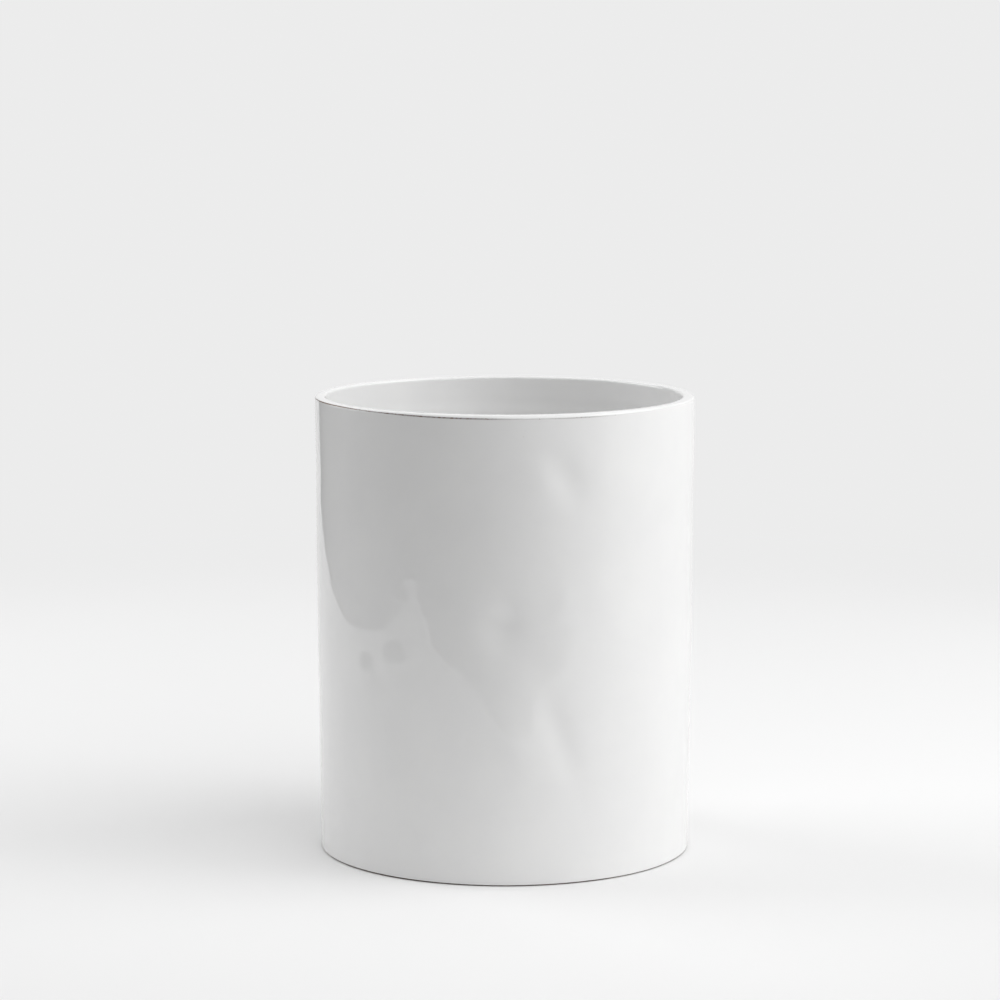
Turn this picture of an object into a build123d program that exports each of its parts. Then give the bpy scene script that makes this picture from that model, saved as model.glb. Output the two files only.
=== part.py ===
"""Utensil crock: a one-piece stoneware pot with its white glaze, interrupted where the clay is bare.

The pot stands on z = 0 with its axis on Z, and lengths are in millimetres. It is a body of
revolution, so each piece is a half section, radius across and height up, turned round the axis.
Two outlines give all of them: the glazed pot, and the clay inside it, which lies one coat further
in wherever glaze covers it. Their difference is the coat, and two bare places divide it in three:
the foot, and a thin line on the shoulder of the lip where the clay comes through.
"""
import os
from math import cos, degrees, radians, sin, tan

from build123d import *

# The glazed pot
crock_height = 199.0
rim_diameter = 165.0
wall_taper = 1.8
wall_belly = 0.3
lip_thickness = 5.0
floor_thickness = 6.0
cove_radius = 9.0
lip_outer_radius = 2.0
lip_inner_radius = 1.2

# The foot ring and the hollow underneath
foot_ring_width = 7.0
foot_edge_chamfer = 0.4
underside_depth = 1.5

# The coat, and the places where it leaves the clay bare
glaze_thickness = 0.45
bare_line_width = 0.6
bare_line_angle = 14
bare_foot_height = 0.6
bare_foot_step = 0.3

# Chamfers that touch a quarter round, as shares of its radius: one that meets it in the middle,
# and one on each edge of that one
touching_share = 2 - 2 * cos(radians(45))
edge_touching_share = tan(radians(22.5)) - tan(radians(11.25))

# How far a cutting shape runs past what it cuts
overrun = 5.0

rim_radius = rim_diameter / 2
foot_radius = rim_radius - wall_taper
bore_radius = rim_radius - lip_thickness
clay_foot_radius = foot_radius - glaze_thickness
ring_radius = clay_foot_radius - bare_foot_step - foot_ring_width


def near(half, corner, count=1):
    """The vertices of a half section that lie nearest to a corner."""
    return half.vertices().sort_by_distance((*corner, 0))[:count]


def zone(*corners):
    """A polygon of the half section."""
    return make_face(Polyline(*corners, close=True))


def turned(half):
    """A half section turned round the axis."""
    return revolve(Plane.XZ * half, Axis.Z)


def square_section(inset):
    """The pot's half section with square corners, its glazed surfaces moved in by an inset."""
    top = crock_height - inset
    floor_level = underside_depth + floor_thickness - inset
    ceiling = underside_depth + inset
    half_way = (foot_radius + rim_radius) / 2 + wall_belly - inset
    wall = ThreePointArc((foot_radius - inset, 0), (half_way, crock_height / 2), (rim_radius - inset, top))
    rest = Polyline(
        (rim_radius - inset, top),
        (bore_radius + inset, top),
        (bore_radius + inset, floor_level),
        (0, floor_level),
        (0, ceiling),
        (ring_radius, ceiling),
        (ring_radius, 0),
        (foot_radius - inset, 0),
    )
    return make_face([wall, *rest.edges()])


def corners(inset):
    """The corners that are softened, each with its radius: the cove, and the lip inside and outside."""
    top = crock_height - inset
    cove = (bore_radius + inset, underside_depth + floor_thickness - inset), cove_radius + inset
    lip_inside = (bore_radius + inset, top), lip_inner_radius - inset
    lip_outside = (rim_radius - inset, top), lip_outer_radius - inset
    return cove, lip_inside, lip_outside


def glazed_section():
    """The glazed pot: a full round outside the lip, and three flats each in the cove and inside the lip."""
    half = square_section(0)
    *inner_corners, (lip_outside, outside_size) = corners(0)
    for corner, radius in inner_corners:
        half = chamfer(near(half, corner), radius * touching_share)
        half = chamfer(near(half, corner, 2), radius * edge_touching_share)
    return fillet(near(half, lip_outside), outside_size)


def clay_section():
    """The clay under the coat: plain chamfers, which the glaze rounds off, and a wiped foot."""
    half = square_section(glaze_thickness)
    for corner, radius in corners(glaze_thickness):
        half = chamfer(near(half, corner), radius * touching_share)
    foot_edge = clay_foot_radius - bare_foot_step
    half -= zone(
        (foot_edge, -overrun),
        (foot_radius + overrun, -overrun),
        (foot_radius + overrun, bare_foot_height),
        (foot_edge, bare_foot_height),
    )
    return chamfer(near(half, (foot_edge, 0)), foot_edge_chamfer)


def line_zone(glazed):
    """The wedge of the lip's shoulder where the clay comes through the coat."""
    shoulder = glazed.edges().filter_by(GeomType.CIRCLE).sort_by_distance((rim_radius, crock_height, 0))[0]
    centre = shoulder.arc_center
    half_turn = degrees(bare_line_width / 2 / lip_outer_radius)
    reach = lip_outer_radius + overrun
    ends = [
        (centre.X + reach * cos(radians(angle)), centre.Y + reach * sin(radians(angle)))
        for angle in (bare_line_angle - half_turn, bare_line_angle + half_turn)
    ]
    return zone((centre.X, centre.Y), *ends)


def bare_foot_zone():
    """The foot, from the ring outwards, up to the edge of the outside glaze."""
    far = foot_radius + overrun
    low, high = -overrun, bare_foot_height
    return zone((ring_radius, low), (far, low), (far, high), (ring_radius, high))


def parts():
    """Every piece of the crock by its name."""
    glazed = glazed_section()
    clay = clay_section()
    coat = glazed - clay
    bare_line = line_zone(glazed)
    skins = (coat - bare_line - bare_foot_zone()).faces()
    base_glaze, outer_glaze, inner_glaze = sorted(skins, key=lambda skin: skin.bounding_box().max.Y)
    return {
        "clay_body": turned(clay + (coat & bare_line)),
        "outer_glaze": turned(outer_glaze),
        "inner_glaze": turned(inner_glaze),
        "base_glaze": turned(base_glaze),
    }


os.makedirs("parts", exist_ok=True)
for name, piece in parts().items():
    export_step(piece, f"parts/{name}.step")
    print(name, round(piece.volume), "cubic millimetres")
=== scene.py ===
# %% [markdown]
# # A white glazed utensil crock
#
# A large stoneware pot for a kitchen counter. It is one fired clay body with three coats of white
# glaze, which stop where the clay is bare: at the foot, and along a thin brown line on the lip. The
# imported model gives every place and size, so it is loaded first. This lesson gives the pot what a
# hand and a kiln give it: soft hollows in the wall, a lip that breaks brown, a wiped foot, and a
# deep, quiet gloss.

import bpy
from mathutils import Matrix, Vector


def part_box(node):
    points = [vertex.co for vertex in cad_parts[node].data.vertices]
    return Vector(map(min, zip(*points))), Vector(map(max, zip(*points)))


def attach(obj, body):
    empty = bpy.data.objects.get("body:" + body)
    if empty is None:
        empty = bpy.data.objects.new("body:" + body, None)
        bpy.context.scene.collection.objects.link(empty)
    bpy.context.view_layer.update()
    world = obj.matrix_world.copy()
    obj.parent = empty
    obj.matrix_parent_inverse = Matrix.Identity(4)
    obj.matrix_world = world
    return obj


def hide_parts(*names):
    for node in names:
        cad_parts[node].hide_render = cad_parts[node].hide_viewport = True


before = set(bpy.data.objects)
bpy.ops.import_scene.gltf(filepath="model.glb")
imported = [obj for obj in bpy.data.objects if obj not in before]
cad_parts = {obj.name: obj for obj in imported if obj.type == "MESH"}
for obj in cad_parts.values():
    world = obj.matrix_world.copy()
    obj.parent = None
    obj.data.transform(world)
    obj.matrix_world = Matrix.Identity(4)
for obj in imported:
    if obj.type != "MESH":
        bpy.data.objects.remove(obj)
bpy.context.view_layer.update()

# %% Bring in the tools
from math import atan, cos, pi, radians, sin

import bmesh
import bpy
import numpy as np
from mathutils import Matrix, Vector, noise

mm = 0.001
print("Blender", bpy.app.version_string)

# %% [markdown]
# ## Sizes
#
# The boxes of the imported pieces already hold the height, the rim, the bare foot and the thickness
# of the glaze, so those are read from them. Only what no box can tell is written down.

# %% Read the sizes that the boxes hold
outer_low, outer_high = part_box("outer_glaze")
inner_low, inner_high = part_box("inner_glaze")
base_low, base_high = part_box("base_glaze")

height = inner_high.z
rim_radius = outer_high.x
bare_foot_height = outer_low.z
ceiling_radius = base_high.x
underside_depth = base_low.z
coat = base_high.z - base_low.z
floor_level = inner_low.z + coat
print(f"height {height / mm:.1f}, rim radius {rim_radius / mm:.2f}, coat {coat / mm:.2f} mm")

# %% Write the sizes that no box holds
wall_taper = 1.8 * mm
lip_thickness = 5 * mm
shoulder_radius = 2 * mm
lip_inner_radius = 1.2 * mm
cove_radius = 9 * mm
foot_ring_width = 7 * mm
foot_edge_radius = 0.4 * mm
glaze_edge_radius = 0.35 * mm
line_width = 0.6 * mm
line_angle = radians(14)

foot_radius = rim_radius - wall_taper
bore_radius = rim_radius - lip_thickness
foot_edge = ceiling_radius + foot_ring_width
shoulder_level = height - shoulder_radius
shoulder_centre = rim_radius - shoulder_radius
cove_level = floor_level + cove_radius
line_start = line_angle - line_width / 2 / shoulder_radius
line_end = line_angle + line_width / 2 / shoulder_radius

# %% [markdown]
# ## Drawing an outline
#
# A pot is a turned thing, so every piece starts as an outline: half of its section, drawn in the
# plane y = 0 with the radius along x and the height along z. Two moves of a pen draw them all. A
# line extrudes the last point to a new place, row by row. An arc spins the last point about a
# centre, so a round is exactly round at any angle. A curve object could be drawn too, but its
# points would have to be worked out by hand.
#
# A full spin of many steps is slow, because each step looks through the whole mesh. So the outline
# is spun through one sixteenth of a turn, and the wedge is doubled four times. Doubles are merged
# afterwards, along the wedges' sides and on the axis, and only then are the normals turned out.

# %% A pen that draws outlines
wedge_steps = 20
doublings = 4
sharp_angle = radians(38)


class Pen:
    """Draws an outline from point to point and spins it round the axis of the pot."""

    def __init__(self, radius, level):
        self.outline = bmesh.new()
        self.first = self.last = self.outline.verts.new((radius, 0, level))

    def line(self, radius, level, rows=1):
        """Extrudes the last point, row by row, to a new place."""
        start, end = self.last.co.copy(), Vector((radius, 0, level))
        for row in range(rows):
            made = bmesh.ops.extrude_vert_indiv(self.outline, verts=[self.last])
            self.last = made["verts"][0]
            self.last.co = start.lerp(end, (row + 1) / rows)

    def arc(self, radius, level, turn, rows):
        """Swings the last point about a centre. A turn above zero goes from outside upwards."""
        centre = (radius, 0, level)
        made = bmesh.ops.spin(
            self.outline, geom=[self.last], cent=centre, axis=(0, -1, 0), angle=turn, steps=rows
        )
        self.last = next(part for part in made["geom_last"] if isinstance(part, bmesh.types.BMVert))

    def close(self):
        """Joins the last point to the first, for an outline that never meets the axis."""
        self.outline.edges.new((self.last, self.first))

    def spin(self, name):
        """Turns the outline into a finished object."""
        wall = self.outline
        turn = 2 * pi / 2**doublings
        drawn = list(wall.verts) + list(wall.edges)
        bmesh.ops.spin(wall, geom=drawn, axis=(0, 0, 1), angle=turn, steps=wedge_steps)
        for doubling in range(doublings):
            whole = list(wall.verts) + list(wall.edges) + list(wall.faces)
            made = bmesh.ops.duplicate(wall, geom=whole)["geom"]
            copied = [part for part in made if isinstance(part, bmesh.types.BMVert)]
            bmesh.ops.rotate(wall, matrix=Matrix.Rotation(turn * 2**doubling, 3, "Z"), verts=copied)
        bmesh.ops.remove_doubles(wall, verts=wall.verts, dist=0.002 * mm)
        bmesh.ops.recalc_face_normals(wall, faces=wall.faces)
        open_edges = sum(not edge.is_manifold for edge in wall.edges)
        mesh = bpy.data.meshes.new(name)
        wall.to_mesh(mesh)
        wall.free()
        mesh.shade_smooth()
        mesh.set_sharp_from_angle(angle=sharp_angle)
        piece = bpy.data.objects.new(name, mesh)
        bpy.context.scene.collection.objects.link(piece)
        print(f"{name}: {len(mesh.polygons)} faces, {open_edges} open edges")
        return piece


# %% Places on the wall and on the lip
def wall_radius(level):
    """The radius of the glazed wall before its hollows, leaning out from the foot to the lip."""
    return foot_radius + wall_taper * level / shoulder_level


def on_shoulder(angle, depth=0):
    """A point of the lip's outer round, so deep under the face of the glaze."""
    reach = shoulder_radius - depth
    return shoulder_centre + reach * cos(angle), shoulder_level + reach * sin(angle)


print("half way up, the wall is", round(wall_radius(height / 2) / mm, 2), "mm out")

# %% [markdown]
# ## The glaze outside
#
# The outer coat starts above the foot in a small rolled bead, where the wet glaze drew back from
# the wiped clay, and it stops on the lip at the bare line. It is a closed skin: its face has fine
# rows for the hollows that come later, and its hidden side, against the clay, has few.

# %% Spin the outside glaze
face_rows = 170
hidden_rows = 28
round_rows = 12
edge_rows = 6


def spin_outside_glaze():
    """The coat from the bead above the foot to the lower edge of the bare line."""
    bead = glaze_edge_radius
    bead_level = bare_foot_height + bead
    outer = wall_radius(bead_level)
    pen = Pen(outer - coat, bare_foot_height)
    pen.line(outer - bead, bare_foot_height)
    pen.arc(outer - bead, bead_level, pi / 2, edge_rows)
    pen.line(rim_radius, shoulder_level, face_rows)
    pen.arc(shoulder_centre, shoulder_level, line_start, round_rows)
    pen.line(*on_shoulder(line_start, coat), 2)
    pen.arc(shoulder_centre, shoulder_level, -line_start, round_rows)
    pen.line(outer - coat, bead_level, hidden_rows)
    pen.close()
    return pen.spin("outside_glaze")


outside_glaze = spin_outside_glaze()

# %% [markdown]
# ## The glaze inside
#
# The inner coat goes from the bare line over the crest of the lip, down the bore and through the
# cove to the middle of the floor. Its hidden side takes the same way one coat deeper, and so does
# the clay under it, so one function draws that way for all three.

# %% Spin the inside glaze
def draw_lining(pen, depth, bore_rows, floor_rows):
    """Draws over the crest of the lip and down to the axis, so deep under the face of the glaze."""
    lip_level = height - lip_inner_radius
    pen.arc(shoulder_centre, shoulder_level, pi / 2 - line_end, round_rows)
    pen.line(bore_radius + lip_inner_radius, height - depth)
    pen.arc(bore_radius + lip_inner_radius, lip_level, pi / 2, edge_rows)
    pen.line(bore_radius + depth, cove_level, bore_rows)
    pen.arc(bore_radius - cove_radius, cove_level, -pi / 2, round_rows)
    pen.line(0, floor_level - depth, floor_rows)


def spin_inside_glaze():
    """The coat from the upper edge of the bare line to the middle of the floor."""
    pen = Pen(*on_shoulder(line_end))
    draw_lining(pen, 0, face_rows, hidden_rows)
    pen.last = pen.first
    pen.line(*on_shoulder(line_end, coat), 2)
    draw_lining(pen, coat, hidden_rows, edge_rows)
    return pen.spin("inside_glaze")


inside_glaze = spin_inside_glaze()


# %% [markdown]
# ## The fired clay
#
# The clay is the whole pot under its coats. It comes to the surface at three places: the ring that
# the pot stands on, the low band above that ring, and the line along the lip.

# %% Spin the clay
def spin_clay():
    """The body of the pot, which shows at the foot and along the bare line."""
    edge = foot_edge_radius
    pen = Pen(0, underside_depth + coat)
    pen.line(ceiling_radius, underside_depth + coat, edge_rows)
    pen.line(ceiling_radius, edge, 2)
    pen.arc(ceiling_radius + edge, edge, pi / 2, edge_rows)
    pen.line(foot_edge - edge, 0, edge_rows)
    pen.arc(foot_edge - edge, edge, pi / 2, edge_rows)
    pen.line(foot_edge, bare_foot_height, 2)
    pen.line(wall_radius(0) - coat, bare_foot_height)
    pen.line(rim_radius - coat, shoulder_level, hidden_rows)
    pen.arc(shoulder_centre, shoulder_level, line_start, round_rows)
    pen.line(*on_shoulder(line_start), 2)
    pen.arc(shoulder_centre, shoulder_level, line_end - line_start, edge_rows)
    pen.line(*on_shoulder(line_end, coat), 2)
    draw_lining(pen, coat, hidden_rows, edge_rows)
    return pen.spin("fired_clay")


fired_clay = spin_clay()


# %% Spin the glaze of the underside
def spin_base_glaze():
    """The thin coat on the ceiling inside the foot ring."""
    pen = Pen(0, underside_depth)
    pen.line(ceiling_radius - glaze_edge_radius, underside_depth, edge_rows)
    pen.arc(ceiling_radius - glaze_edge_radius, underside_depth + glaze_edge_radius, pi / 2, edge_rows)
    pen.line(ceiling_radius, underside_depth + coat)
    pen.line(0, underside_depth + coat, edge_rows)
    return pen.spin("base_glaze_coat")


base_glaze = spin_base_glaze()

# %% [markdown]
# ## The hand in the wall
#
# A factory pot would be a perfect turned form. This one shows soft hollows, as if from fingertips
# pressing the wet wall. None is much over a millimetre deep, and it is mostly the gloss that tells
# of them. A bump map would fake them in one view, but a real shape holds in all views, so the points
# themselves are moved, by one formula that all pieces share. The clay and its coat move together, so
# no piece comes through another.
#
# Each hollow has a turn from the front in degrees, to the right above zero, then in millimetres its
# level, half width and half height, then a lean in degrees, and its depth in millimetres. A depth
# below zero is a swelling. Small dimples all over come from noise.

# %% Where the hollows lie
hollows = [
    # the front, where the turning light shows them best
    (-1, 110, 8, 11, 10, 1.00),
    (9, 98, 10, 13, 0, 0.45),
    (17.5, 121, 6, 8, 0, -0.35),
    (3, 60, 8, 15, 28, -0.85),
    (17, 62, 6, 21, 20, 0.90),
    (18, 172, 7, 11, 30, 0.90),
    (9, 177, 8, 12, 42, -0.30),
    (4, 184, 10, 8, 0, 0.25),
    (-8, 150, 16, 14, 0, 0.15),
    (10, 138, 9, 12, 0, 0.12),
    # small swellings at the left, which mirror as islands beside the edge of the table
    (-29, 130, 4.5, 4, 0, -0.12),
    (-35, 122, 3, 2.6, 0, -0.06),
    (-16.5, 129, 4, 3.5, 0, -0.14),
    (-46, 86, 5.5, 6.5, 0, -0.44),
    (-33.5, 91, 7, 7, 0, -0.50),
    (-17, 106, 6, 7, 30, 0.12),
    (-61, 124, 5, 4, 0, 0.08),
    # the right
    (46, 124, 18, 18, 0, 0.20),
    (62, 56, 18, 16, 0, 0.25),
    (80, 150, 16, 14, 0, 0.40),
    (104, 42, 16, 14, 20, 0.50),
    (112, 131, 12, 18, 0, 0.55),
    (118, 90, 8, 8, 0, 0.25),
    # the back
    (134, 84, 14, 14, -20, 0.50),
    (152, 147, 12, 16, 0, 0.60),
    (168, 44, 15, 16, 25, 0.45),
    (-172, 100, 12, 16, 0, 0.60),
    (-150, 160, 16, 12, 0, 0.45),
    (-142, 50, 14, 16, -25, 0.50),
    (-128, 108, 6, 7, 0, 0.20),
    # the left
    (-118, 128, 14, 16, 0, 0.55),
    (-96, 64, 14, 16, 20, 0.50),
    (-84, 167, 14, 14, 0, 0.30),
    (-74, 40, 16, 14, 0, 0.20),
]
swellings = sum(hollow[-1] < 0 for hollow in hollows)
print(len(hollows) - swellings, "hollows and", swellings, "swellings")

# %% [markdown]
# ## The wandering line
#
# The bare line on the lip wanders. It sits high at the left and low in front, and how much clay it
# shows changes on the way. It could be painted on, but the line is where three pieces meet, so the
# points move and the paint follows. A few soft waves round the lip give its course. Each has its
# turn, its half width and its size: degrees that the line climbs, or how bare the clay is. Two more
# waves say where the lip's round is pressed squarer.

# %% How the bare line wanders
line_settles = -1
line_climbs = [(-66, 34, 23), (66, 26, 12), (-150, 34, 6), (158, 36, 11)]
lip_corners = [(-60, 34, 1), (66, 28, 0.9)]
barely_bare = 0.08
bare_stretches = [
    (-14, 16, 0.3),
    (-66, 15, 0.75),
    (-42, 24, 0.35),
    (22, 14, 0.2),
    (140, 26, 0.5),
    (-130, 22, 0.5),
]


def turns_away(turn, middle):
    """How far each turn is from the middle of a feature, either way round."""
    return (turn - radians(middle) + pi) % (2 * pi) - pi


def waves_round(turn, waves):
    """The sum of soft waves round the pot."""
    total = np.zeros_like(turn)
    for middle, half_width, size in waves:
        total += size * np.exp(-((turns_away(turn, middle) / radians(half_width)) ** 2))
    return total


front = waves_round(np.zeros(1), bare_stretches)[0]
print("in front the line is", round(barely_bare + front, 2), "bare")

# %% [markdown]
# ## Moving the points
#
# One formula does the rest. It moves the wall by its belly and its hollows, the lip by the climb of
# its line, the bore by faint turning rings, and the glaze's lower edge by a few soft drops. The pot
# is a hair out of round, and its bore sits a little off centre, as no hand turns quite true. The
# formula also marks, on the points, where the glaze is thin and how bare the clay is.

# %% Move the points of every piece by the same formula
wall_belly = 0.3 * mm
out_of_round = 0.2 * mm
fade_at_lip = 16 * mm
fade_at_foot = 10 * mm
dimples = [(26 * mm, 0.05 * mm), (9 * mm, 0.012 * mm)]
thin_reach = 0.65 * mm
thin_at_least = 0.15
covered_at_edges = 0.12
bare_at_foot = 1.5
bore_offset = 0.4 * mm
foot_drops = [(-2, 22, 0.2), (46, 18, 0.25), (150, 40, 0.25), (-120, 30, 0.25)]
foot_fade = 3 * mm
ring_spacing = 7 * mm
ring_wave = 0.06 * mm


def smooth_step(value):
    """Rises softly from 0 to 1."""
    value = np.clip(value, 0, 1)
    return value * value * (3 - 2 * value)


def hollow_depth(turn, level):
    """How far the wall lies in at each turn and level: its hollows, and small dimples all over."""
    depth = np.zeros_like(turn)
    for middle, middle_level, half_width, half_height, lean, hollow in hollows:
        across, along = turns_away(turn, middle) * rim_radius / mm, level / mm - middle_level
        lean_cos, lean_sin = cos(radians(lean)), sin(radians(lean))
        wide = (across * lean_cos + along * lean_sin) / half_width
        tall = (along * lean_cos - across * lean_sin) / half_height
        depth += hollow * mm * np.exp(-wide * wide - tall * tall)
    places = np.stack((rim_radius * np.sin(turn), -rim_radius * np.cos(turn), level), axis=1)
    for size, dimple_depth in dimples:
        depth += dimple_depth * np.array([noise.noise(place / size) for place in map(Vector, places)])
    ends = smooth_step((shoulder_level - level) / fade_at_lip) * smooth_step(level / fade_at_foot)
    return depth * ends


def add_mask(piece, name, values):
    """Keeps a number for each point, which a material can read."""
    mask = piece.data.attributes.new(name, "FLOAT", "POINT")
    mask.data.foreach_set("value", values.astype(np.float32))


def shape_by_hand(piece):
    """Moves the points of a piece as the potter's hand left them."""
    places = np.empty(len(piece.data.vertices) * 3)
    piece.data.vertices.foreach_get("co", places)
    places = places.reshape(-1, 3)
    x, y, level = places.T.copy()
    radius, turn = np.hypot(x, y), np.arctan2(x, -y)

    from_centre = np.hypot(radius - shoulder_centre, level - shoulder_level)
    angle = np.arctan2(level - shoulder_level, radius - shoulder_centre)
    climb = np.radians(line_settles + waves_round(turn, line_climbs))
    slide = np.clip(np.minimum(angle / line_start, (pi / 2 - angle) / (pi / 2 - line_end)), 0, 1)
    on_lip = (angle > 0) & (angle < pi / 2)
    off_line = (angle + climb * slide - line_angle - climb) * shoulder_radius
    angle = np.clip(angle + climb * slide, 0, pi / 2)
    squareness = 1 / (1 + waves_round(turn, lip_corners))
    lip_radius = shoulder_centre + from_centre * np.cos(angle) ** squareness
    lip_level = shoulder_level + from_centre * np.sin(angle) ** squareness

    on_wall = smooth_step((radius - bore_radius - coat) / (lip_thickness - 2 * coat))
    share = np.clip(level / shoulder_level, 0, 1)
    belly = wall_belly * 4 * share * (1 - share)
    above_cove = smooth_step((level - cove_level) / fade_at_foot)
    in_bore = above_cove * smooth_step((shoulder_level - level) / fade_at_lip)
    rings = ring_wave * np.sin(2 * pi * level / ring_spacing - turn) * in_bore * (1 - on_wall)
    rings *= smooth_step((radius - bore_radius + cove_radius) / cove_radius)
    moved = radius + on_wall * (belly - hollow_depth(turn, level)) + rings

    from_edge = (level - bare_foot_height) / foot_fade
    near_foot = np.exp(-(from_edge**2)) * smooth_step(level / bare_foot_height)
    drop = mm * waves_round(turn, foot_drops) * near_foot * on_wall
    places[:, 2] = np.where(on_lip, lip_level, level - drop)
    moved = np.where(on_lip, lip_radius, moved)
    above_floor = smooth_step((level - floor_level) / cove_radius) * smooth_step(radius / bore_radius)
    places[:, 0] = moved * np.sin(turn) - bore_offset * (1 - on_wall) * above_floor
    places[:, 1] = -moved * np.cos(turn) * (1 - out_of_round / rim_radius)
    piece.data.vertices.foreach_set("co", places.ravel())
    piece.data.update()

    bare = barely_bare + waves_round(turn, bare_stretches)
    worn = thin_at_least + (1 - thin_at_least) * bare
    thin = np.where(on_lip, np.exp(-((off_line / thin_reach) ** 2)) * worn, 0)
    add_mask(piece, "thin", thin)
    across = np.where(on_lip, off_line / (line_width / 2), 0)
    bare_lip = bare - covered_at_edges * across * across
    add_mask(piece, "bare", np.where(level < height / 2, bare_at_foot, bare_lip))
    print(piece.name, "moved by up to", round(float(np.abs(moved - radius).max() / mm), 2), "mm")


for piece in (fired_clay, outside_glaze, inside_glaze, base_glaze):
    shape_by_hand(piece)

# %% [markdown]
# ## Four pieces for four nodes
#
# Each piece takes the place of one node of the imported model. All of them ride on the same body,
# because nothing on a pot moves.

# %% Say what each piece stands for
pieces = {
    "clay_body": (fired_clay, "bare_clay"),
    "outer_glaze": (outside_glaze, "white_glaze"),
    "inner_glaze": (inside_glaze, "white_glaze"),
    "base_glaze": (base_glaze, "white_glaze"),
}
for node_name, (piece, slot_name) in pieces.items():
    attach(piece, "root")
    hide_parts(node_name)
    print(node_name, "is", piece.name)

# %% [markdown]
# ## The camera
#
# The photograph looks from a little above the rim, through a long lens, so the sides of the pot stay
# almost parallel. A short lens from nearby would make the rim wide and the foot narrow. Place, tilt
# and lens were fitted to the outlines of the rim, the foot and the sides.

# %% Camera
camera_place = Vector((0, -1.5292, 0.3627))
camera_pitch = radians(7.82)
camera_yaw = radians(0.077)
sensor = 36
lens = 127.4

camera = bpy.data.objects.new("camera", bpy.data.cameras.new("camera"))
camera.location = camera_place
camera.rotation_euler = (pi / 2 - camera_pitch, 0, camera_yaw)
camera.data.sensor_width = sensor
camera.data.lens = lens
bpy.context.scene.collection.objects.link(camera)
bpy.context.scene.camera = camera
print("camera sees", round(2 * atan(sensor / 2 / lens) * 180 / pi, 1), "degrees")


# %% [markdown]
# ## Building materials from shared effects
#
# Glaze and clay come out of the same kiln, so they share three effects: a slow mottle of tone, tiny
# specks of iron and grit, and a fine relief. Each is a node group with named sockets, built once
# and placed in both materials with its own values. A group gives a mask or a height only, and the
# material decides what it means: a speck is a brown dot in the glaze, and a pale grain in the clay.

# %% Helpers for nodes
def add_node(tree, kind, values=(), **settings):
    """Adds a shader node, sets its properties and the values of its named or numbered sockets."""
    node = tree.nodes.new("ShaderNode" + kind)
    for name, value in settings.items():
        setattr(node, name, value)
    for name, value in dict(values).items():
        node.inputs[name].default_value = value
    return node


def join(tree, *steps):
    """Links sockets in pairs: each source to the socket after it."""
    for source, target in zip(steps[::2], steps[1::2]):
        tree.links.new(source, target)


def new_group(name, inputs, output):
    """A node group with numbers as inputs, after its Vector, and one number as its output."""
    tree = bpy.data.node_groups.new(name, "ShaderNodeTree")
    tree.interface.new_socket("Vector", in_out="INPUT", socket_type="NodeSocketVector")
    for label, value in inputs.items():
        socket = tree.interface.new_socket(label, in_out="INPUT", socket_type="NodeSocketFloat")
        socket.default_value = value
    tree.interface.new_socket(output, in_out="OUTPUT", socket_type="NodeSocketFloat")
    return tree, tree.nodes.new("NodeGroupInput").outputs, tree.nodes.new("NodeGroupOutput").inputs


def place_group(tree, group, coordinates, **values):
    """Puts a shared effect into a material and gives back its output."""
    node = add_node(tree, "Group", node_tree=group)
    for label, value in values.items():
        node.inputs[label].default_value = value
    join(tree, coordinates, node.inputs["Vector"])
    return node.outputs[0]


# %% Mottle: tone that drifts slowly, between a low and a high edge
def build_mottle():
    """Noise, spread so that it uses the whole range from 0 to 1."""
    tree, given, result = new_group("kiln_mottle", {"Scale": 40, "Contrast": 1}, "Mask")
    waves = add_node(tree, "TexNoise", {"Detail": 4, "Roughness": 0.55})
    centred = add_node(tree, "Math", {1: 0.5}, operation="SUBTRACT")
    spread = add_node(tree, "Math", operation="MULTIPLY")
    back = add_node(tree, "Math", {1: 0.5}, operation="ADD", use_clamp=True)
    join(tree, given["Vector"], waves.inputs["Vector"], given["Scale"], waves.inputs["Scale"])
    join(tree, waves.outputs["Fac"], centred.inputs[0], centred.outputs[0], spread.inputs[0])
    join(tree, given["Contrast"], spread.inputs[1], spread.outputs[0], back.inputs[0])
    join(tree, back.outputs[0], result["Mask"])
    return tree


mottle = build_mottle()


# %% Specks: a dot in some of the cells of a pattern, each of its own size
def build_specks():
    """Cells with a random number each. A cell above the threshold holds a dot."""
    tree, given, result = new_group("kiln_specks", {"Scale": 900, "Share": 0.1, "Size": 0.3}, "Mask")
    cells = add_node(tree, "TexVoronoi")
    chance = add_node(tree, "SeparateColor")
    left_out = add_node(tree, "Math", {0: 1}, operation="SUBTRACT")
    chosen = add_node(tree, "Math", operation="GREATER_THAN")
    size = add_node(tree, "Math", operation="MULTIPLY")
    dot_edge = {"From Min": 0, "To Min": 1, "To Max": 0}
    dot = add_node(tree, "MapRange", dot_edge, interpolation_type="SMOOTHSTEP")
    kept = add_node(tree, "Math", operation="MULTIPLY")
    join(tree, given["Vector"], cells.inputs["Vector"], given["Scale"], cells.inputs["Scale"])
    join(tree, cells.outputs["Color"], chance.inputs["Color"], given["Share"], left_out.inputs[1])
    join(tree, chance.outputs["Red"], chosen.inputs[0], left_out.outputs[0], chosen.inputs[1])
    join(tree, chance.outputs["Green"], size.inputs[0], given["Size"], size.inputs[1])
    join(tree, cells.outputs["Distance"], dot.inputs["Value"], size.outputs[0], dot.inputs["From Max"])
    join(tree, dot.outputs["Result"], kept.inputs[0], chosen.outputs[0], kept.inputs[1])
    join(tree, kept.outputs[0], result["Mask"])
    return tree


specks = build_specks()


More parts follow.
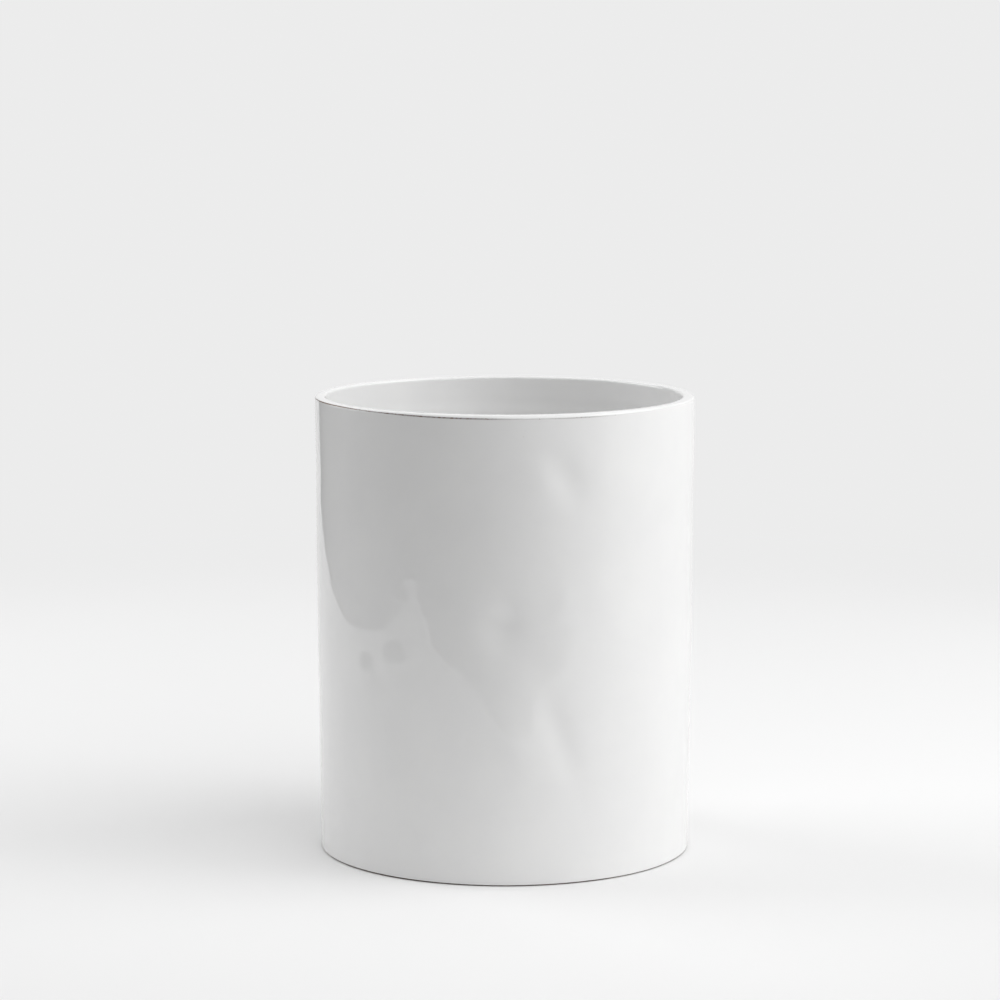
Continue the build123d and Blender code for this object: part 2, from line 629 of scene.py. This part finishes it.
# %% Relief: a soft ripple with a finer grain on it
def build_relief():
    """The height of a fired face, from 0 to about 1."""
    sizes = {"Scale": 300, "Grain Scale": 2000, "Grain": 0.2}
    tree, given, result = new_group("fired_relief", sizes, "Height")
    ripple = add_node(tree, "TexNoise", {"Detail": 1, "Roughness": 0.4})
    grain = add_node(tree, "TexNoise", {"Detail": 3, "Roughness": 0.6})
    mixed = add_node(tree, "Mix")
    join(tree, given["Vector"], ripple.inputs["Vector"], given["Scale"], ripple.inputs["Scale"])
    join(tree, given["Vector"], grain.inputs["Vector"], given["Grain Scale"], grain.inputs["Scale"])
    join(tree, ripple.outputs["Fac"], mixed.inputs["A"], grain.outputs["Fac"], mixed.inputs["B"])
    join(tree, given["Grain"], mixed.inputs["Factor"], mixed.outputs["Result"], result["Height"])
    return tree


relief = build_relief()


# %% Broken edge: a soft mask turned into ragged patches
def build_broken():
    """A mask of 0.5 breaks into patches, and noise decides where. Near 0 and 1 it stays whole."""
    sizes = {"Mask": 0, "Scale": 900, "Raggedness": 0.5}
    tree, given, result = new_group("broken_edge", sizes, "Broken")
    patches = add_node(tree, "TexNoise", {"Detail": 3, "Roughness": 0.65})
    centred = add_node(tree, "Math", {1: 0.5}, operation="SUBTRACT")
    strength = add_node(tree, "Math", operation="MULTIPLY")
    raised = add_node(tree, "Math", operation="ADD")
    patch_edge = {"From Min": 0.4, "From Max": 0.6}
    cut = add_node(tree, "MapRange", patch_edge, interpolation_type="SMOOTHSTEP")
    join(tree, given["Vector"], patches.inputs["Vector"], given["Scale"], patches.inputs["Scale"])
    join(tree, patches.outputs["Fac"], centred.inputs[0], centred.outputs[0], strength.inputs[0])
    join(tree, given["Raggedness"], strength.inputs[1], strength.outputs[0], raised.inputs[0])
    join(tree, given["Mask"], raised.inputs[1], raised.outputs[0], cut.inputs["Value"])
    join(tree, cut.outputs["Result"], result["Broken"])
    return tree


broken = build_broken()
print("shared effects:", [group.name for group in (mottle, specks, relief, broken)])


# %% A helper for materials
def new_material(name):
    """A material with a Principled shader, and the Object coordinates that its patterns read."""
    material = bpy.data.materials.new(name)
    material.use_nodes = True
    tree = material.node_tree
    place = add_node(tree, "TexCoord").outputs["Object"]
    return material, tree, tree.nodes["Principled BSDF"], place


def blend_colours(tree, mask, first, second):
    """Goes from the first colour to the second as a mask goes from 0 to 1. Either may be a socket."""
    mix = add_node(tree, "Mix", data_type="RGBA")
    join(tree, mask, mix.inputs["Factor"])
    for socket, colour in ((mix.inputs[6], first), (mix.inputs[7], second)):
        if isinstance(colour, tuple):
            socket.default_value = (*colour, 1)
        else:
            join(tree, colour, socket)
    return mix.outputs[2]


def blend_numbers(tree, mask, first, second):
    """Goes from the first number to the second as a mask goes from 0 to 1. Either may be a socket."""
    mix = add_node(tree, "Mix")
    join(tree, mask, mix.inputs["Factor"])
    for socket, number in ((mix.inputs["A"], first), (mix.inputs["B"], second)):
        if isinstance(number, (int, float)):
            socket.default_value = number
        else:
            join(tree, number, socket)
    return mix.outputs["Result"]


def add_bump(tree, shader, height, distance):
    """Lets a height tilt the light on a face."""
    bump = add_node(tree, "Bump", {"Distance": distance})
    join(tree, height, bump.inputs["Height"], bump.outputs["Normal"], shader.inputs["Normal"])


# %% [markdown]
# ## The white glaze
#
# The glaze is a thick, opaque white glass. Its colour is nearly even: it drifts a little with its
# thickness, a speck of iron comes through here and there, and it turns warm and thin where it draws
# back from the bare line. The thin places were marked on the points above.
# The gloss is deep but not optical. A faint ripple, like the skin of an orange, softens what it
# mirrors, and the roughness changes a little from place to place.

# %% White glaze
glaze, tree, shader, place = new_material("white_glaze")
drift = place_group(tree, mottle, place, Scale=38, Contrast=1.6)
body_tone = blend_colours(tree, drift, (0.79, 0.79, 0.79), (0.83, 0.83, 0.825))
iron = place_group(tree, specks, place, Scale=260, Share=0.035, Size=0.07)
speckled = blend_colours(tree, iron, body_tone, (0.36, 0.29, 0.22))
thin = add_node(tree, "Attribute", attribute_name="thin").outputs["Fac"]
worn = place_group(tree, broken, place, Scale=1100, Raggedness=0.9)
join(tree, thin, worn.node.inputs["Mask"])
edge_tone = blend_colours(tree, worn, speckled, (0.70, 0.67, 0.64))
join(tree, edge_tone, shader.inputs["Base Color"])
gloss = place_group(tree, mottle, place, Scale=110, Contrast=1.4)
join(tree, blend_numbers(tree, gloss, 0.012, 0.03), shader.inputs["Roughness"])
skin = place_group(tree, relief, place, **{"Scale": 260, "Grain Scale": 1500, "Grain": 0.03})
add_bump(tree, shader, skin, 0.0015 * mm)
for piece in (outside_glaze, inside_glaze, base_glaze):
    piece.data.materials.append(glaze)
print(glaze.name, "has", len(tree.nodes), "nodes")

# %% [markdown]
# ## The bare clay
#
# Where no glaze covers it, the stoneware is brown, dry and gritty. Along the lip the clay is seldom
# quite bare: a last skin of glaze clings to it. Where that skin is thick it is nearly white, where it
# is thin the clay greys it, and in some stretches it breaks into brown patches. So this material
# holds three faces, and the bareness that was marked on the points chooses between them.

# %% Bare clay
clay, tree, shader, place = new_material("bare_clay")
drift = place_group(tree, mottle, place, Scale=600, Contrast=2.4)
body_tone = blend_colours(tree, drift, (0.10, 0.065, 0.048), (0.23, 0.155, 0.115))
grit = place_group(tree, specks, place, Scale=1600, Share=0.3, Size=0.45)
clay_tone = blend_colours(tree, grit, body_tone, (0.40, 0.30, 0.23))
bare = add_node(tree, "Attribute", attribute_name="bare").outputs["Fac"]
skin_edge = {"From Min": 0.05, "From Max": 0.4}
thinness = add_node(tree, "MapRange", skin_edge, interpolation_type="SMOOTHSTEP")
join(tree, bare, thinness.inputs["Value"])
skin_tone = blend_colours(tree, thinness.outputs["Result"], (0.77, 0.765, 0.76), (0.36, 0.34, 0.345))
showing = place_group(tree, broken, place, Scale=800, Raggedness=1.7)
join(tree, bare, showing.node.inputs["Mask"])
join(tree, blend_colours(tree, showing, skin_tone, clay_tone), shader.inputs["Base Color"])
join(tree, blend_numbers(tree, showing, 0.16, 0.85), shader.inputs["Roughness"])
rough = place_group(tree, relief, place, **{"Scale": 900, "Grain Scale": 3500, "Grain": 0.5})
add_bump(tree, shader, rough, 0.12 * mm)
fired_clay.data.materials.append(clay)
print(clay.name, "has", len(tree.nodes), "nodes")

# %% [markdown]
# ## The table and the backdrop
#
# The pot stands on a pale table in front of a pale backdrop, and the two run into each other without
# a line. Near the pot the table is a lit white face, so that it takes the pot's shadow. Further out
# it fades into the tone of the backdrop. Only what is seen directly, mirrored or looked through gets
# that tone: all other light meets a plain white table, so the pot is lit by nothing extra.

# %% Table
table_left = 0.62
table_front = 0.47
table_right = 1.6
table_back = 1.5
backdrop_level = 0.84
oval_centre = (0, 0.25, 0)
oval_reach = (0.6, 0.7, 1)


def new_plane(name, low, high):
    """A level rectangle from its low corner to its high one."""
    flat = bmesh.new()
    bmesh.ops.create_grid(flat, x_segments=1, y_segments=1, size=0.5)
    bmesh.ops.scale(flat, vec=(high[0] - low[0], high[1] - low[1], 1), verts=flat.verts)
    bmesh.ops.translate(flat, vec=((high[0] + low[0]) / 2, (high[1] + low[1]) / 2, 0), verts=flat.verts)
    mesh = bpy.data.meshes.new(name)
    flat.to_mesh(mesh)
    flat.free()
    plane = bpy.data.objects.new(name, mesh)
    bpy.context.scene.collection.objects.link(plane)
    return plane


def seen_rays(tree):
    """1 for light that is seen directly, mirrored or looked through, and 0 for the rest."""
    rays = add_node(tree, "LightPath").outputs
    first = add_node(tree, "Math", operation="MAXIMUM")
    both = add_node(tree, "Math", operation="MAXIMUM")
    join(tree, rays["Is Camera Ray"], first.inputs[0], rays["Is Glossy Ray"], first.inputs[1])
    join(tree, first.outputs[0], both.inputs[0], rays["Is Transmission Ray"], both.inputs[1])
    return both.outputs[0]


def blend_shaders(tree, mask, first, second, output):
    """Goes from one shader to another as a mask goes from 0 to 1."""
    mix = add_node(tree, "MixShader")
    join(tree, mask, mix.inputs["Fac"], first, mix.inputs[1], second, mix.inputs[2])
    join(tree, mix.outputs["Shader"], output)


table = new_plane("table", (-table_left, -table_front), (table_right, table_back))
table_paint, tree, shader, place = new_material("pale_table")
shader.inputs["Base Color"].default_value = (0.8, 0.8, 0.8, 1)
shader.inputs["Roughness"].default_value = 0.9
backdrop = add_node(tree, "Emission", {"Strength": backdrop_level})
oval = add_node(tree, "Mapping", {"Location": oval_centre, "Scale": oval_reach}, vector_type="TEXTURE")
reach = add_node(tree, "VectorMath", operation="LENGTH")
fade = add_node(tree, "MapRange", {"From Min": 0.55, "From Max": 1}, interpolation_type="SMOOTHSTEP")
join(tree, place, oval.inputs["Vector"], oval.outputs["Vector"], reach.inputs[0])
join(tree, reach.outputs["Value"], fade.inputs["Value"])
seen = add_node(tree, "MixShader")
lit, pale = shader.outputs["BSDF"], backdrop.outputs["Emission"]
blend_shaders(tree, fade.outputs["Result"], lit, pale, seen.inputs[2])
join(tree, seen_rays(tree), seen.inputs["Fac"], lit, seen.inputs[1])
join(tree, seen.outputs["Shader"], tree.nodes["Material Output"].inputs["Surface"])
table.data.materials.append(table_paint)
print("table, metres:", round(table_left + table_right, 2), "by", round(table_front + table_back, 2))

# %% [markdown]
# ## Something to mirror
#
# A glossy pot shows the room that it stands in. The front of this room is dimmer than the table, so
# the wall mirrors the table's edge as a soft, broken line, and that line is what shows the hollows.
# The room is a standing strip that only reflections and bounced light can see. It brightens towards
# the right, so that its end doesn't stand in the glaze as a hard line.

# %% Room
room_radius = 2.3
room_low, room_high = -0.6, 1.6
room_from, room_to = radians(-150), radians(62)
dim_level, bright_level = 0.02, 0.45
brightens_from, brightens_to = 0.5, 2


def new_room():
    """The dim side of the room, round the front of the table."""
    strip = bmesh.new()
    start = strip.verts.new((room_radius * sin(room_from), -room_radius * cos(room_from), room_low))
    made = bmesh.ops.extrude_vert_indiv(strip, verts=[start])
    made["verts"][0].co.z = room_high
    drawn = list(strip.verts) + list(strip.edges)
    bmesh.ops.spin(strip, geom=drawn, axis=(0, 0, 1), angle=room_to - room_from, steps=48)
    mesh = bpy.data.meshes.new("room")
    strip.to_mesh(mesh)
    strip.free()
    room = bpy.data.objects.new("room", mesh)
    bpy.context.scene.collection.objects.link(room)
    room.visible_camera = False
    return room


room = new_room()
room_paint = bpy.data.materials.new("dim_room")
room_paint.use_nodes = True
tree = room_paint.node_tree
tree.nodes.clear()
glow = add_node(tree, "Emission")
across = add_node(tree, "SeparateXYZ")
place = add_node(tree, "TexCoord").outputs["Object"]
rise = {"From Min": brightens_from, "From Max": brightens_to, "To Min": dim_level, "To Max": bright_level}
brighter = add_node(tree, "MapRange", rise, interpolation_type="SMOOTHSTEP")
output = add_node(tree, "OutputMaterial")
join(tree, place, across.inputs["Vector"], across.outputs["X"], brighter.inputs["Value"])
join(tree, brighter.outputs["Result"], glow.inputs["Strength"])
join(tree, glow.outputs["Emission"], output.inputs["Surface"])
room.data.materials.append(room_paint)
print("room strip:", len(room.data.polygons), "faces, metres high:", round(room_high - room_low, 2))

# %% [markdown]
# ## Light
#
# A very broad lamp at the front right gives the wall its slow turn from white to grey. A smaller one
# at the right throws the shadow on the table, and one at the back left keeps the far side from going
# dark. Each is placed by its turn from the front, to the right above zero, and its rise above the
# table. The rest is an even light from all round.

# %% Lamps
lamp_distance = 1.8


def add_lamp(name, turn, rise, size, power):
    """A soft square lamp that faces the lower part of the pot."""
    light = bpy.data.lights.new(name, "AREA")
    light.size = size
    light.energy = power
    lamp = bpy.data.objects.new(name, light)
    aim = Vector((0, 0, height / 2))
    away = Vector((cos(rise) * sin(turn), -cos(rise) * cos(turn), sin(rise)))
    lamp.location = aim + lamp_distance * away
    lamp.rotation_euler = away.to_track_quat("Z", "Y").to_euler()
    bpy.context.scene.collection.objects.link(lamp)
    print(name, "lamp at", [round(side, 2) for side in lamp.location])


add_lamp("key", radians(45), radians(45), 2.2, 19.0)
add_lamp("right", radians(88), radians(35), 1.3, 9.1)
add_lamp("left", radians(-110), radians(25), 1.3, 15.2)

# %% World
ambient_level = 0.68
world = bpy.data.worlds.new("studio")
bpy.context.scene.world = world
world.use_nodes = True
tree = world.node_tree
tree.nodes.clear()
backdrop = add_node(tree, "Background", {"Color": (1, 1, 1, 1), "Strength": backdrop_level})
ambient = add_node(tree, "Background", {"Color": (1, 1, 1, 1), "Strength": ambient_level})
output = add_node(tree, "OutputWorld")
even, pale = ambient.outputs["Background"], backdrop.outputs["Background"]
blend_shaders(tree, seen_rays(tree), even, pale, output.inputs["Surface"])
print("even light", ambient_level, "and backdrop", backdrop_level)

# %% Finish
bpy.context.scene.view_settings.view_transform = "Standard"
